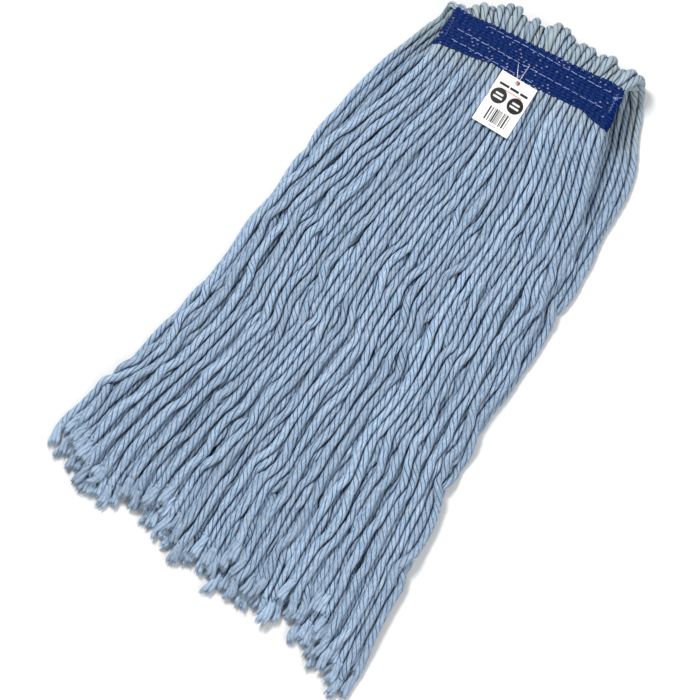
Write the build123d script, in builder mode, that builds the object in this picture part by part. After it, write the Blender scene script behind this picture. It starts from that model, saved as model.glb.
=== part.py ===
"""Looped string mop head, folded in half at its headband and lying flat.

Frame: origin at the centre of the headband's upper face, +Z up out of that face, +X along the
headband, +Y towards the fold. The cut ends of the yarn point to -Y. Everything is in millimetres.
Each yarn starts at a cut end of the front half, runs under the headband, turns over in a loop at
the fold and runs back under the front half as the rear half.
"""

from build123d import *
import math
import os

os.makedirs("parts", exist_ok=True)

# ---------------------------------------------------------------- driving dimensions
HEIGHT = 38.0  # headband's upper face above the floor
FLOOR = -HEIGHT
BAND_LENGTH = 160.0
BAND_WIDTH = 32.0
BAND_THICK = 1.2
BAND_CORNER = 1.5

YARN = 5.2  # diameter of a yarn where it is pressed by its neighbours
YARNS_ACROSS = 27  # in one layer, two layers under the headband
YARNS_PER_TRESS = 3
LAYER_RISE = 6.0  # centre to centre of two layers
SLACK = 0.1  # between the headband's strips and the yarn

UPPER_Z = -BAND_THICK - SLACK - YARN / 2
LOWER_Z = UPPER_Z - LAYER_RISE
BACK_STRIP_TOP = LOWER_Z - YARN / 2 - SLACK
REAR_LOWER_Z = FLOOR + YARN / 2
REAR_UPPER_Z = REAR_LOWER_Z + LAYER_RISE
FRONT_DROP = 13.3  # how far the front half sinks from the headband to where it lies

HALF_ROW = 78.0  # outermost yarn centre under the headband
OUTER_SPREAD = 10.0  # the fold's outer loops open out by this much at the sides
INNER_SPREAD = 4.0
CENTRE_START = -16.8  # yarn pressed flat under the headband, from here to FOLD_Y
FOLD_Y = 26.0
JOINT_GAP = 0.3
LOOP_GAP = 0.2
LEAD = 24.0  # a free yarn runs straight for this long before it spreads out
SPREAD_OVER = 34.0

STITCH_ROWS = ((11.8, 3, 18), (-3.6, 0, 18), (-14.0, 0, 10))  # y at the middle, first and last stitch
STITCH_SLANT = -3.6  # degrees, the rows run down to the right
STITCH_LENGTH = 6.4
STITCH_PITCH = 8.0
STITCHES = 18  # that the headband's length has room for
THREAD = 0.6
THREAD_SINK = 0.42  # thread centre below the strip's face
GROOVE_WIDTH = 0.9
GROOVE_DEPTH = 0.8
TACK_X = 77.4
TACK_HALF = 9.5

TAG_WIDTH = 34.0
TAG_LENGTH = 47.0
TAG_THICK = 0.4
TAG_HOLE = 1.6
TAG_LEAN = 6.0  # degrees, about +Z
TAG_TILT = 2.6  # degrees down with the yarn
TAG_TOP = (-4.0, -20.2, -0.45)  # middle of the tag's top edge
LOOP_THREAD = 0.5


# ---------------------------------------------------------------- the yarn's lie
def smooth(s):
    """0 to 1 with level ends."""
    s = min(max(s, 0.0), 1.0)
    return s * s * (3 - 2 * s)


def open_out(s):
    """0 at first, rising gently and then levelling off at 1."""
    s = max(s, 0.0)
    return 1 - math.exp(-s) * (1 + s)


def cut_distance(u, ragged):
    """How far the cut end lies from the headband's middle, for a yarn at u from -1 to 1."""
    return 519 + 40 * u - 10 * u * u + ragged


# name, start (x reach, y, z), spread, spread of the ends, drop, phase of the waves
LAYERS = {
    "front_upper": (HALF_ROW, CENTRE_START - JOINT_GAP, UPPER_Z, 54, 23, FRONT_DROP, 0.4),
    "front_lower": (HALF_ROW, CENTRE_START - JOINT_GAP, LOWER_Z, 54, 21, FRONT_DROP, 2.1),
    "rear_upper": (HALF_ROW + INNER_SPREAD, FOLD_Y - LOOP_GAP, REAR_UPPER_Z, 50, 15, 0, 3.3),
    "rear_lower": (HALF_ROW + OUTER_SPREAD, FOLD_Y - LOOP_GAP, REAR_LOWER_Z, 47, 15, 0, 5.2),
}
STATIONS = (0, 0.045, 0.11, 0.20, 0.31, 0.44, 0.58, 0.72, 0.86, 1)


def strand_points(layer, i):
    """The corners of one yarn's route, from the headband or the fold to its cut end."""
    reach, start_y, start_z, spread, flare, drop, phase = LAYERS[layer]
    u = 2 * i / (YARNS_ACROSS - 1) - 1
    ragged = 6 * math.sin(2.7 * i + phase)
    end = cut_distance(u, ragged)
    start = -start_y
    points = []
    for k, station in enumerate(STATIONS):
        inner = 0 < k < len(STATIONS) - 1
        uneven = 0.008 * math.sin(1.9 * k + 1.3 * i + phase) if inner and k > 2 else 0
        t = start + (end - start) * (station + uneven)
        half = reach + spread * open_out((t - start - LEAD) / SPREAD_OVER) + flare * smooth((t - 300) / 150)
        sideways = -62 * smooth((t - 70) / 410)
        room = max(0.9 * half / (YARNS_ACROSS - 1) * 2 - YARN - 0.4, 0)
        sway = 4.5 * smooth((t - 60) / 120) * math.sin(t / 48 + phase)
        wander = 0.42 * room * math.sin(2.1 * k + 2.4 * i + phase)
        z = start_z - drop * smooth((t - 20) / 170)
        points.append((sideways + u * half + sway + wander, -t, z))
    return points


def corner_radii(points):
    """One radius for each corner, as large as its two runs allow."""
    radii = []
    for a, b, c in zip(points, points[1:], points[2:]):
        before = Vector(*b) - Vector(*a)
        after = Vector(*c) - Vector(*b)
        turn = math.radians(before.get_angle(after))
        radii.append(0.45 * min(before.length, after.length) / math.tan(turn / 2))
    return radii


def row_x(i):
    """Where yarn i passes under the headband."""
    return HALF_ROW * (2 * i / (YARNS_ACROSS - 1) - 1)


# ---------------------------------------------------------------- headband strips
LOOP_GROOVE = (0.0, -1.0)  # where the tag's loop goes into the headband, between two stitches
ALONG_ROW = Vector(math.cos(math.radians(STITCH_SLANT)), math.sin(math.radians(STITCH_SLANT)), 0)


def stitch_start(n):
    """How far along its row stitch n starts, from the headband's middle."""
    return STITCH_PITCH * (n - STITCHES / 2)


def groove_places():
    """The middle, the slant and the length of each row's groove."""
    for y, first, last in STITCH_ROWS:
        start, end = stitch_start(first), stitch_start(last)
        middle = Vector(0, y, 0) + ALONG_ROW * ((start + end) / 2)
        yield Location((middle.X, middle.Y, 0), (0, 0, STITCH_SLANT)), end - start


with BuildPart() as headband_front:
    with BuildSketch(Plane.XY.offset(-BAND_THICK)):
        RectangleRounded(BAND_LENGTH, BAND_WIDTH, BAND_CORNER)
    extrude(amount=BAND_THICK)
    with BuildSketch(Plane.XY.offset(-GROOVE_DEPTH)):
        for place, length in groove_places():
            with Locations(place):
                Rectangle(length, GROOVE_WIDTH)
        with Locations((-TACK_X, 0), (TACK_X, 0)):
            Rectangle(2.4, 2 * TACK_HALF + 0.6)
        with Locations((LOOP_GROOVE[0], (LOOP_GROOVE[1] - BAND_WIDTH / 2) / 2)):
            Rectangle(GROOVE_WIDTH, BAND_WIDTH / 2 + LOOP_GROOVE[1] + 2)
    extrude(amount=GROOVE_DEPTH + 1, mode=Mode.SUBTRACT)
headband_front.part.label = "headband_front"
export_step(headband_front.part, "parts/headband_front.step")

with BuildPart() as headband_back:
    with BuildSketch(Plane.XY.offset(BACK_STRIP_TOP - BAND_THICK)):
        RectangleRounded(BAND_LENGTH, BAND_WIDTH, BAND_CORNER)
    extrude(amount=BAND_THICK)
    with BuildSketch(Plane.XY.offset(BACK_STRIP_TOP - BAND_THICK - 1)):
        for place, length in groove_places():
            with Locations(place):
                Rectangle(length, GROOVE_WIDTH)
    extrude(amount=GROOVE_DEPTH + 1, mode=Mode.SUBTRACT)
headband_back.part.label = "headband_back"
export_step(headband_back.part, "parts/headband_back.step")

# ---------------------------------------------------------------- stitches
BACK_THREAD_Z = BACK_STRIP_TOP - BAND_THICK + THREAD_SINK

for number, (y, first, last) in enumerate(STITCH_ROWS, start=1):
    with BuildPart() as stitch_row:
        for n in range(first, last):
            along = stitch_start(n) + (STITCH_PITCH - STITCH_LENGTH) / 2
            for z in (-THREAD_SINK, BACK_THREAD_Z):
                start = Vector(0, y, z) + ALONG_ROW * along
                with BuildSketch(Plane(origin=start, z_dir=ALONG_ROW)):
                    Circle(THREAD / 2)
                extrude(amount=STITCH_LENGTH)
    stitch_row.part.label = f"stitch_row_{number}"
    export_step(stitch_row.part, f"parts/stitch_row_{number}.step")

for side, x in (("left", -TACK_X), ("right", TACK_X)):
    with BuildPart() as bar_tack:
        for offset in (-0.7, 0, 0.7):
            base = Plane(origin=(x + offset, -TACK_HALF, -THREAD_SINK), z_dir=(0, 1, 0))
            with BuildSketch(base):
                Circle(THREAD / 2)
            extrude(amount=2 * TACK_HALF)
    bar_tack.part.label = f"bar_tack_{side}"
    export_step(bar_tack.part, f"parts/bar_tack_{side}.step")

# ---------------------------------------------------------------- yarn under the headband
for name, z in (("yarn_centre_upper", UPPER_Z), ("yarn_centre_lower", LOWER_Z)):
    with BuildPart() as yarn_centre:
        with BuildSketch(Plane(origin=(0, CENTRE_START, z), x_dir=(1, 0, 0), z_dir=(0, 1, 0))):
            with Locations(*[(row_x(i), 0) for i in range(YARNS_ACROSS)]):
                Circle(YARN / 2)
        extrude(amount=FOLD_Y - CENTRE_START)
    yarn_centre.part.label = name
    export_step(yarn_centre.part, f"parts/{name}.step")

# ---------------------------------------------------------------- loops over the fold
LOOPS = (
    ("fold_loops_outer", UPPER_Z, REAR_LOWER_Z, OUTER_SPREAD),
    ("fold_loops_inner", LOWER_Z, REAR_UPPER_Z, INNER_SPREAD),
)
for name, top_z, bottom_z, spread in LOOPS:
    with BuildPart() as fold_loops:
        for i in range(YARNS_ACROSS):
            top = Vector(row_x(i), FOLD_Y, top_z)
            bottom = Vector(row_x(i) * (1 + spread / HALF_ROW), FOLD_Y, bottom_z)
            crest = (top + bottom) * 0.5 + Vector(0, (top - bottom).length / 2, 0)
            with BuildLine():
                ThreePointArc(top, crest, bottom)
            with BuildSketch(Plane(origin=top, x_dir=(1, 0, 0), z_dir=(0, 1, 0))):
                Circle(YARN / 2)
            sweep()
    fold_loops.part.label = name
    export_step(fold_loops.part, f"parts/{name}.step")

# ---------------------------------------------------------------- free yarn, in tresses
smallest = math.inf
largest_error = 0.0
for layer in LAYERS:
    for first in range(0, YARNS_ACROSS, YARNS_PER_TRESS):
        length = 0.0
        with BuildPart() as tress:
            for i in range(first, first + YARNS_PER_TRESS):
                corners = strand_points(layer, i)
                radii = corner_radii(corners)
                smallest = min(smallest, *radii)
                with BuildLine() as route:
                    FilletPolyline(*corners, radius=radii)
                with BuildSketch(Plane(origin=route.line @ 0, z_dir=route.line % 0)):
                    Circle(YARN / 2)
                sweep()
                length += sum(edge.length for edge in route.edges())
        expected = length * math.pi * YARN**2 / 4
        largest_error = max(largest_error, abs(tress.part.volume / expected - 1))
        name = f"{layer}_tress_{first // YARNS_PER_TRESS + 1}"
        tress.part.label = name
        export_step(tress.part, f"parts/{name}.step")
print(f"smallest radius of the yarn's bends {smallest:.0f} mm, {smallest / YARN:.1f} diameters")
print(f"largest difference of a tress from section times length {largest_error:.4%}")

# ---------------------------------------------------------------- tag and its loop
lean = Plane(origin=TAG_TOP, z_dir=(0, 0, 1)).rotated((0, 0, -TAG_LEAN))
tag_plane = Plane(origin=TAG_TOP, x_dir=lean.x_dir, z_dir=Vector(0, 0, 1)).rotated((TAG_TILT, 0, 0))
with BuildPart() as tag:
    with BuildSketch(tag_plane.offset(-TAG_THICK / 2)):
        with Locations((0, -TAG_LENGTH / 2)):
            RectangleRounded(TAG_WIDTH, TAG_LENGTH, 0.8)
        with Locations((0, -3.5)):
            Circle(TAG_HOLE, mode=Mode.SUBTRACT)
    extrude(amount=TAG_THICK)
tag.part.label = "tag"
export_step(tag.part, "parts/tag.step")

with BuildPart() as tag_loop:
    with BuildLine() as loop_path:
        FilletPolyline(
            (LOOP_GROOVE[0], LOOP_GROOVE[1] - 0.4, -THREAD_SINK),
            (LOOP_GROOVE[0], -BAND_WIDTH / 2 - 1.0, -THREAD_SINK),
            (TAG_TOP[0] + 0.3, TAG_TOP[1] - 2.2, 0.35),
            radius=1.5,
        )
    with BuildSketch(Plane(origin=loop_path.line @ 0, z_dir=loop_path.line % 0)):
        Circle(LOOP_THREAD / 2)
    sweep()
tag_loop.part.label = "tag_loop"
export_step(tag_loop.part, "parts/tag_loop.step")
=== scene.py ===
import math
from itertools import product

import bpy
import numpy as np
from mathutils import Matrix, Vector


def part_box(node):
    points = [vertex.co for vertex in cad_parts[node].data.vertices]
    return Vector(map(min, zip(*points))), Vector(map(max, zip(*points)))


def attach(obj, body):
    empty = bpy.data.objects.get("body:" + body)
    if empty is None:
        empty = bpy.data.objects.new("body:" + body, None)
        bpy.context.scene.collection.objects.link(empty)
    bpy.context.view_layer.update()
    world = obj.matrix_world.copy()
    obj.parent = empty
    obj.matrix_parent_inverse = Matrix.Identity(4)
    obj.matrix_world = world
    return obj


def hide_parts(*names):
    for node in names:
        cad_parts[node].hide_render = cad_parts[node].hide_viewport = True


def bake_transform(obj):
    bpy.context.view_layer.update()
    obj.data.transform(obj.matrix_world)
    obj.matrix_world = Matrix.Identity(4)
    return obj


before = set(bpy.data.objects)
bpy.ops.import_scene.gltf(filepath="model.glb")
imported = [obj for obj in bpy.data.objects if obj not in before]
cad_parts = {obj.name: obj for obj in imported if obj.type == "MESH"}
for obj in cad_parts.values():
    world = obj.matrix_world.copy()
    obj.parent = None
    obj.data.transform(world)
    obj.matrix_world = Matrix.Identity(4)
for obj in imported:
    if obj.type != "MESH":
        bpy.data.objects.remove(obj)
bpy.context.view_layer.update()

# String mop head, folded in half at its headband and lying flat on its cut yarn.
#
# Lengths are in millimetres until a mesh is made, where MM turns them into the scene's metres. The
# row frame has its origin at the middle of the headband's upper face, +X along the headband, +Y
# towards the fold and +Z up. Each yarn runs from its front cut end under the headband, over the fold
# in a loop and back under the front half to its rear cut end.

MM = 0.001
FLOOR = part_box("rear_lower_tress_5")[0].z / MM
rng = np.random.default_rng(26)

# -------------------- the yarn's routes, close to the CAD's
HALF_ROW = 78.0  # from the middle yarn to the last one under the headband
YARNS = 27  # in one layer, two layers under the headband
UPPER_Z = -3.9
LOWER_Z = -9.9
MIDDLE_LENGTH = 528  # from the headband's middle to the middle yarn's cut end
RIGHT_LONGER = 43
SIDES_SHORTER = 11
RAGGED = 6
LEAD = 24.0  # how far the yarns run straight before they spread
SPREAD_OVER = 34.0
DRIFT = -62  # how far to the left the cut ends lie
SWAY = 4.5
# start (x reach, y, z), spread, spread of the ends, drop, phase of the waves
LAYERS = {
    "front_upper": (78, -17.1, UPPER_Z, 54, 23, 13.3, 0.4),
    "front_lower": (78, -17.1, LOWER_Z, 54, 21, 13.3, 2.1),
    "rear_upper": (82, 25.8, -29.4, 50, 15, 0, 3.3),
    "rear_lower": (88, 25.8, -35.4, 47, 15, 0, 5.2),
}
STATIONS = (0, 0.045, 0.11, 0.20, 0.31, 0.44, 0.58, 0.72, 0.86, 1)  # a route's corners, as shares of its length
# place across the fan, and how much shorter than the CAD's the yarns are there
CUT_BACK = ((-1, -6), (-0.85, -7), (-0.6, 5), (-0.3, 15), (0, 13), (0.3, 17), (0.6, 30), (0.8, 19), (1, 8))
# y, and how far from the CAD's left and right edge the fan's edges lie, to follow the photo's outline
EDGES = np.array((
    (-480, 0, -7), (-420, 3, -6), (-380, 6, -8), (-340, 10, -13), (-300, 11, -12), (-260, 7, -16), (-220, 2, -20),
    (-180, 0, -21), (-150, 0, -20), (-120, -1, -16), (-100, -4, -11), (-80, -5, -6), (-50, -3, -2), (-25, 0, 0),
))


def smooth(s):
    """0 to 1 with level ends."""
    s = np.clip(s, 0.0, 1.0)
    return s * s * (3 - 2 * s)


def across(i):
    """Yarn i's place in its layer, from -1 at the left to 1 at the right."""
    return 2 * i / (YARNS - 1) - 1


def open_out(s):
    """0 at first, rising gently and then levelling off at 1."""
    s = max(s, 0.0)
    return 1 - math.exp(-s) * (1 + s)


def strand_points(layer, i, shift=0.0):
    """The corners of one yarn's route, from the headband or the fold to its cut end."""
    reach, start_y, start_z, spread, flare, drop, phase = LAYERS[layer]
    u = across(i)
    end = MIDDLE_LENGTH + RIGHT_LONGER * u - SIDES_SHORTER * u * u + RAGGED * math.sin(2.7 * i + phase)
    end -= np.interp(u, *zip(*CUT_BACK))
    start = -start_y
    points = []
    for k, station in enumerate(STATIONS):
        uneven = 0.008 * math.sin(1.9 * k + 1.3 * i + phase) if 2 < k < len(STATIONS) - 1 else 0
        t = start + (end - start) * (station + uneven)
        half = reach + spread * open_out((t - start - LEAD) / SPREAD_OVER) + flare * smooth((t - 300) / 150)
        sideways = DRIFT * smooth((t - 70) / 410)
        pitch = 2 * half / (YARNS - 1)
        room = max(0.9 * pitch - 5.2 - 0.4, 0)
        sway = SWAY * smooth((t - 60) / 120) * math.sin(t / 48 + phase)
        wander = 0.42 * room * math.sin(2.1 * k + 2.4 * i + phase)
        beside = shift * pitch * smooth((t - 40) / 90)
        z = start_z - drop * smooth((t - 20) / 170)
        points.append((sideways + u * half + sway + wander + beside, -t, z))
    return points


def spline_line(corners):
    """Points along the NURBS spline whose control points are the corners."""
    curve = bpy.data.curves.new("route", "CURVE")
    curve.dimensions = "3D"
    curve.resolution_u = 10
    spline = curve.splines.new("NURBS")
    spline.points.add(len(corners) - 1)
    for point, corner in zip(spline.points, corners):
        point.co = (*[c * MM for c in corner], 1)
    spline.order_u = 3
    spline.use_endpoint_u = True
    holder = bpy.data.objects.new("route", curve)
    mesh = bpy.data.meshes.new_from_object(holder)
    line = np.array([v.co for v in mesh.vertices]) / MM
    bpy.data.objects.remove(holder)
    bpy.data.curves.remove(curve)
    bpy.data.meshes.remove(mesh)
    return line


# -------------------- each yarn's whole route
# place across the fan, and how far the loops reach past the headband's middle
CREST = (
    (-1, 14), (-0.9, 20), (-0.78, 26), (-0.56, 41), (-0.4, 41), (-0.22, 38), (-0.05, 41), (0.2, 42), (0.45, 37),
    (0.83, 34), (1, 33),
)
GROUP = 1.72  # radians from one loop to the next, as they lie in groups of three or four
RIGHT_SWELL = (13, -14, 40)  # how far the rear half swells, at what y, and over what length
LEFT_SWELL = (9, -26, 34)


def bulge(u, y):
    """How far the rear half swells sideways beside the headband's ends."""
    right, left = (
        size * max(outward, 0) ** 4 * math.exp(-(((y - at) / length) ** 2))
        for outward, (size, at, length) in ((u, RIGHT_SWELL), (-u, LEFT_SWELL))
    )
    return right - left


def loop_points(layer, i):
    """The corners of a loop, from the headband's middle over the fold."""
    u = across(i)
    group = GROUP * i + 0.7 * math.sin(0.61 * i)
    lean = -2.3 * math.sin(group) + 1.1 * math.sin(2.9 * i)
    y = np.interp(u, *zip(*CREST)) + 3.4 * math.cos(group) + 1.6 * math.sin(0.83 * i + 2.0)
    if layer == "upper":
        top, bottom, spread, rise = UPPER_Z, -34.6, 10, 2.5 + 2.4 * math.cos(group) + 1.2 * math.sin(2.3 * i)
    else:
        top, bottom, spread, rise = LOWER_Z, -29.0, 4, 1.5
        y -= 8
    side = np.array([0, 0, 0.02, 0.3, 0.7, 1.0, 1.15])
    ys = np.array([0, 13, 19, max(19 + 0.5 * (y - 19), 19), y + 1.5, y + 0.5, y - 14])
    swell = [bulge(u, at) for at in ys] * np.array([0, 0, 0.1, 0.5, 0.9, 1, 1])
    xs = HALF_ROW * u + lean * np.array([0, 0, 0.2, 1, 1, 0.5, 0]) + spread * u * side + swell
    mid = (top + bottom) / 2
    zs = (top, top, top - 0.3, top + rise, mid + 8, mid - 10, bottom)
    return list(zip(xs, ys, zs))


STEP = 4.0  # between the nodes of a yarn as it settles
LONGEST_CUT = 6  # nodes that a yarn may be cut shorter by
WAVES = (47, 73, 110, 170)  # wavelengths of a loose yarn's wobble
WOBBLE = ((0, 0.013), (2, 0.011))  # axis, and the wobble's size as a share of its wavelength
CLUMPING = 3.2  # how far the cut ends lean together, in groups
FRONT_CLUMP, REAR_CLUMP = 4.3, 3.7  # yarns in a group


def run_along(line):
    """Length along a line up to each of its points."""
    return np.concatenate([[0], np.cumsum(np.linalg.norm(np.diff(line, axis=0), axis=1))])


def resample(line, step):
    """The same line in equal steps of about the given length."""
    run = run_along(line)
    count = max(int(round(run[-1] / step)), 2)
    at = np.linspace(0, run[-1], count + 1)
    return np.stack([np.interp(at, run, line[:, a]) for a in range(3)], axis=1)


def yarn_route(layer, i):
    """One yarn from its front cut end to its rear cut end."""
    front, rear = ("front_upper", "rear_lower") if layer == "upper" else ("front_lower", "rear_upper")
    shift = 0.0 if layer == "upper" else 0.5
    u = across(i)
    back_half = [(x + bulge(u, y), y, z) for x, y, z in strand_points(rear, i, shift)[1:]]
    line = resample(spline_line(strand_points(front, i, shift)[::-1] + loop_points(layer, i) + back_half), STEP)
    run = np.arange(len(line)) * STEP
    loose = smooth((-line[:, 1] - 17) / 40)
    for wave in WAVES:
        for axis, size in WOBBLE:
            swing = size * wave * rng.uniform(0.3, 1) * np.sin(2 * math.pi * run / wave + rng.uniform(0, 2 * math.pi))
            line[:, axis] += loose * swing
    near_end = smooth((-line[:, 1] - 400) / 130)
    for half, clump in ((run < run[-1] / 2, FRONT_CLUMP), (run >= run[-1] / 2, REAR_CLUMP)):
        line[:, 0] += half * CLUMPING * near_end * math.sin(2 * math.pi * i / clump + len(layer))
    left, right = (np.interp(line[:, 1], EDGES[:, 0], EDGES[:, side]) for side in (1, 2))
    line[:, 0] += 0.5 * (1 - u) * left + 0.5 * (1 + u) * right
    short, rear_short = (
        int(np.clip(0.42 * LONGEST_CUT * (1 + math.sin(0.9 * i + side)) + rng.uniform(-1.6, 1.6), 0, LONGEST_CUT))
        for side in (0.5, 2.9)
    )
    return line[short:len(line) - rear_short]


routes = {(layer, i): yarn_route(layer, i) for layer in ("upper", "lower") for i in range(YARNS)}

# -------------------- the yarns settle on each other
PRESSED = 3.05  # a yarn's radius under the headband, where it lies free and in the loops
FREE = 3.65
FLUFFED = 3.95
SETTLING_STEPS = 110
WEIGHT = 0.22  # how far a free node sinks in a step
STIFFNESS = 0.22  # shares of a fault that a step puts right: a bend,
PUSH = 0.30  # two yarns in one place,
LOOPS_HOLD, HALVES_HOLD = 0.05, 0.012  # and a node's way from its route


def yarn_radius(points):
    """Radius along a yarn: pressed under the headband, fuller in the loops and where it lies free."""
    y = points[:, 1]
    return PRESSED + (FREE - PRESSED) * smooth((-y - 15) / 28) + (FLUFFED - PRESSED) * smooth((y - 19) / 9)


def close_pairs(points, yarn, reach, apart):
    """Pairs of nodes nearer than reach, on different yarns or at least that many nodes apart on one."""
    cell = np.floor(points / reach).astype(np.int64)
    cell -= cell.min(0) - 1
    size = cell.max(0) + 2
    key = (cell[:, 0] * size[1] + cell[:, 1]) * size[2] + cell[:, 2]
    order = np.argsort(key, kind="stable")
    ranked = key[order]
    here = np.arange(len(points))
    firsts, seconds = [], []
    for dx, dy, dz in product((-1, 0, 1), repeat=3):
        other = key + (dx * size[1] + dy) * size[2] + dz
        low = np.searchsorted(ranked, other, "left")
        count = np.searchsorted(ranked, other, "right") - low
        a = np.repeat(here, count)
        offset = np.arange(count.sum()) - np.repeat(np.cumsum(count) - count, count)
        b = order[np.repeat(low, count) + offset]
        keep = (a < b) & ((yarn[a] != yarn[b]) | (b - a > apart))
        firsts.append(a[keep])
        seconds.append(b[keep])
    a, b = np.concatenate(firsts), np.concatenate(seconds)
    near = np.linalg.norm(points[a] - points[b], axis=1) < reach
    return a[near], b[near]


TAG_TOP = np.array([-2.8, -17.0, -0.45])  # middle of the top edge of the tag's lower face
TAG_LEAN = math.radians(6.0)  # turned in its own plane
TAG_TILT = math.radians(2.6)  # its lower edge lies lower
TAG_SIZE = (34.8, 49.5)
TAG_RIGHT = np.array([math.cos(TAG_LEAN), -math.sin(TAG_LEAN), 0])
TAG_DOWN = np.array([
    -math.sin(TAG_LEAN) * math.cos(TAG_TILT), -math.cos(TAG_LEAN) * math.cos(TAG_TILT), -math.sin(TAG_TILT),
])


def in_tag(points, margin):
    """Whether points lie below or above the tag, with a margin round it."""
    right = (points - TAG_TOP) @ TAG_RIGHT
    down = (points - TAG_TOP) @ TAG_DOWN
    return (abs(right) < TAG_SIZE[0] / 2 + margin) & (down > -margin) & (down < TAG_SIZE[1] + margin)


def tag_height(points):
    """Height of the tag's lower face."""
    return TAG_TOP[2] - np.maximum((points - TAG_TOP) @ TAG_DOWN, 0) * math.sin(TAG_TILT)


def settle(lines):
    """Lets the yarns sink under their weight and push each other aside, at their own lengths."""
    sizes = [len(line) for line in lines]
    yarn = np.repeat(np.arange(len(lines)), sizes)
    points = np.concatenate(lines)
    first = np.cumsum([0] + sizes[:-1])
    link = np.concatenate([np.arange(f, f + n - 1) for f, n in zip(first, sizes)])
    odd = np.concatenate([np.arange(n - 1) % 2 for n in sizes]).astype(bool)
    bend = np.concatenate([np.arange(f + 1, f + n - 1) for f, n in zip(first, sizes)])
    length = np.linalg.norm(points[link + 1] - points[link], axis=1)
    home = points.copy()
    radius = yarn_radius(points)
    y = home[:, 1]
    front_or_rear = np.maximum(smooth((-y - 30) / 110), 0)
    free = np.maximum(smooth((-y - 15) / 25), smooth((y - 17) / 8))
    below = home[:, 2] < -25
    pinned = (free < 0.02) & ~below
    heavy = np.where(below, 1.0, front_or_rear)
    pull = np.where(pinned, 1.0, np.where(y > 10, LOOPS_HOLD, HALVES_HOLD))
    under_tag = (home[:, 2] > -25) & in_tag(home, 2.0)
    points = points + rng.normal(0, 0.15, points.shape)
    for step in range(SETTLING_STEPS):
        if step % 6 == 0:
            a, b = close_pairs(points, yarn, 2 * FREE + 1.2, 5)
        points[:, 2] -= WEIGHT * heavy
        points[:, :2] += pull[:, None] * (home - points)[:, :2]
        points[:, 2] += pull * (1 - 0.8 * heavy) * (home - points)[:, 2]
        points[bend] += STIFFNESS * (0.5 * (points[bend - 1] + points[bend + 1]) - points[bend])
        for turn in (odd, ~odd):
            d = points[link[turn] + 1] - points[link[turn]]
            span = np.linalg.norm(d, axis=1)
            move = 0.5 * ((span - length[turn]) / span)[:, None] * d
            points[link[turn]] += move
            points[link[turn] + 1] -= move
        d = points[b] - points[a]
        gap = np.linalg.norm(d, axis=1)
        push = np.maximum(radius[a] + radius[b] - gap, 0) / np.maximum(gap, 0.1) * PUSH
        for axis in range(3):
            moved = push * d[:, axis]
            points[:, axis] += np.bincount(b, moved, len(points)) - np.bincount(a, moved, len(points))
        points[:, 2] = np.maximum(points[:, 2], FLOOR + radius)
        roof = tag_height(points) - radius - 0.5
        points[:, 2] = np.where(under_tag, np.minimum(points[:, 2], roof), points[:, 2])
        points[pinned] = home[pinned]
    return [points[f:f + n] for f, n in zip(first, sizes)]


settled = dict(zip(routes, settle(list(routes.values()))))

# -------------------- tube meshes
RING_STEP = 2.5
PLIES = 4
PER_PLY = 6  # points round a ring for each ply
SIDES = PLIES * PER_PLY
PLY_SHAPE = np.array([0.76, 0.92, 1.0, 0.955, 1.0, 0.92])  # share of the radius: the furrow between plies, strand, notch, strand
# painted shade round each ply: 1 in the grooves between plies, less in the notch, none on the crests
GROOVE_SHADE = np.array([1.0, 0.22, 0.0, 0.35, 0.0, 0.22])
TWIST_PITCH = 32.0
UNTWINING = ((53, 0.35), (31, 0.22), (17, 0.1))  # wavelengths and sizes of the twist's unevenness, in radians
GAP_SHADE_WIDTH = 2.3  # how far from its neighbour a yarn's surface still gets painted shade
GRAIN_SHIFT = 2000.0  # keeps one yarn's grain from repeating in the next


def put_in_scene(name, data):
    """A new object in the scene."""
    obj = bpy.data.objects.new(name, data)
    bpy.context.scene.collection.objects.link(obj)
    return obj


class Shape:
    """Vertices, faces and attributes gathered for one mesh."""

    def __init__(self, *names):
        self.vertices = []
        self.faces = []
        self.values = {name: [] for name in names or ("groove", "tint", "tan", "crevice", "fibre")}
        self.count = 0

    def add(self, vertices, faces, **values):
        self.vertices.append(np.asarray(vertices))
        self.faces.extend([[corner + self.count for corner in face] for face in faces])
        for name, rows in self.values.items():
            value = values.get(name, 0.0)
            want = (len(vertices), 3) if name == "fibre" else (len(vertices),)
            rows.append(np.broadcast_to(value, want))
        self.count += len(vertices)

    def mesh(self, name, material):
        """The object, in metres, smooth and with its attributes."""
        mesh = bpy.data.meshes.new(name)
        mesh.from_pydata((np.concatenate(self.vertices) * MM).tolist(), [], self.faces)
        for key, rows in self.values.items():
            data = np.concatenate(rows).astype(np.float32)
            kind = "FLOAT_VECTOR" if data.ndim == 2 else "FLOAT"
            attribute = mesh.attributes.new(key, kind, "POINT")
            attribute.data.foreach_set("vector" if data.ndim == 2 else "value", data.ravel())
        mesh.polygons.foreach_set("use_smooth", [True] * len(mesh.polygons))
        mesh.materials.append(material)
        return put_in_scene(name, mesh)


def ring_faces(rings, sides):
    """Quads between rings, and the two end faces."""
    faces = []
    for k in range(rings - 1):
        for j in range(sides):
            n = (j + 1) % sides
            faces.append((k * sides + j, k * sides + n, (k + 1) * sides + n, (k + 1) * sides + j))
    faces.append(tuple(reversed(range(sides))))
    faces.append(tuple(range((rings - 1) * sides, rings * sides)))
    return faces


def frames(line):
    """Directions along, sideways and up from a line that nowhere runs along X."""
    along = np.gradient(line, axis=0)
    along /= np.linalg.norm(along, axis=1)[:, None]
    side = np.array([1.0, 0, 0]) - along[:, :1] * along
    side /= np.linalg.norm(side, axis=1)[:, None]
    return along, side, np.cross(along, side)


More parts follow.
